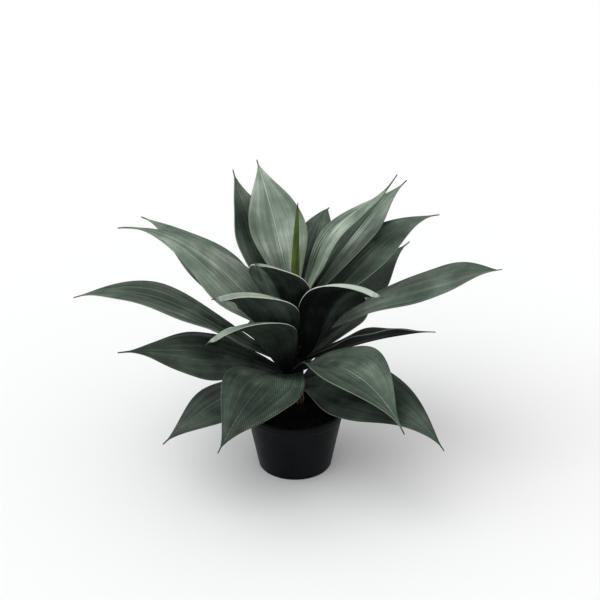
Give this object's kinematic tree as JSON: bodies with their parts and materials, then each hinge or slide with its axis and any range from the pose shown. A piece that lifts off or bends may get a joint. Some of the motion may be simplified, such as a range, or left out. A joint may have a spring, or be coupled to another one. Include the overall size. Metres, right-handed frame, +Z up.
{
  "type": "potted artificial agave",
  "caption": "Artificial agave: a rosette of broad pointed grey-green leaves on a short brown stem, standing in a small black pot",
  "frame": {"origin": "Centre of the pot's underside, on the ground.", "axes": "+Z up, the axis of the pot; -Y is the front, the side the picture shows."},
  "size_m": [0.4815, 0.4216, 0.3385],
  "materials": {
    "pot": "satin",
    "soil": "rough",
    "stem": "rough",
    "young_leaf": "matte",
    "leaf": "matte"
  },
  "bodies": {
    "root": {"pot": "pot", "soil": "soil", "stem": "stem", "spear": "young_leaf", "leaf_01": "leaf", "leaf_02": "leaf", "leaf_03": "leaf", "leaf_04": "leaf", "leaf_05": "leaf", "leaf_06": "leaf", "leaf_07": "leaf", "leaf_08": "leaf", "leaf_09": "leaf", "leaf_10": "leaf", "leaf_11": "leaf", "leaf_12": "leaf", "leaf_13": "leaf", "leaf_14": "leaf", "leaf_15": "leaf", "leaf_16": "leaf", "leaf_17": "leaf", "leaf_18": "leaf", "leaf_19": "leaf", "leaf_20": "leaf", "leaf_21": "leaf", "leaf_22": "leaf", "leaf_23": "leaf", "leaf_24": "leaf", "leaf_25": "leaf", "leaf_26": "leaf", "leaf_27": "leaf", "leaf_28": "leaf"}
  },
  "joints": []
}
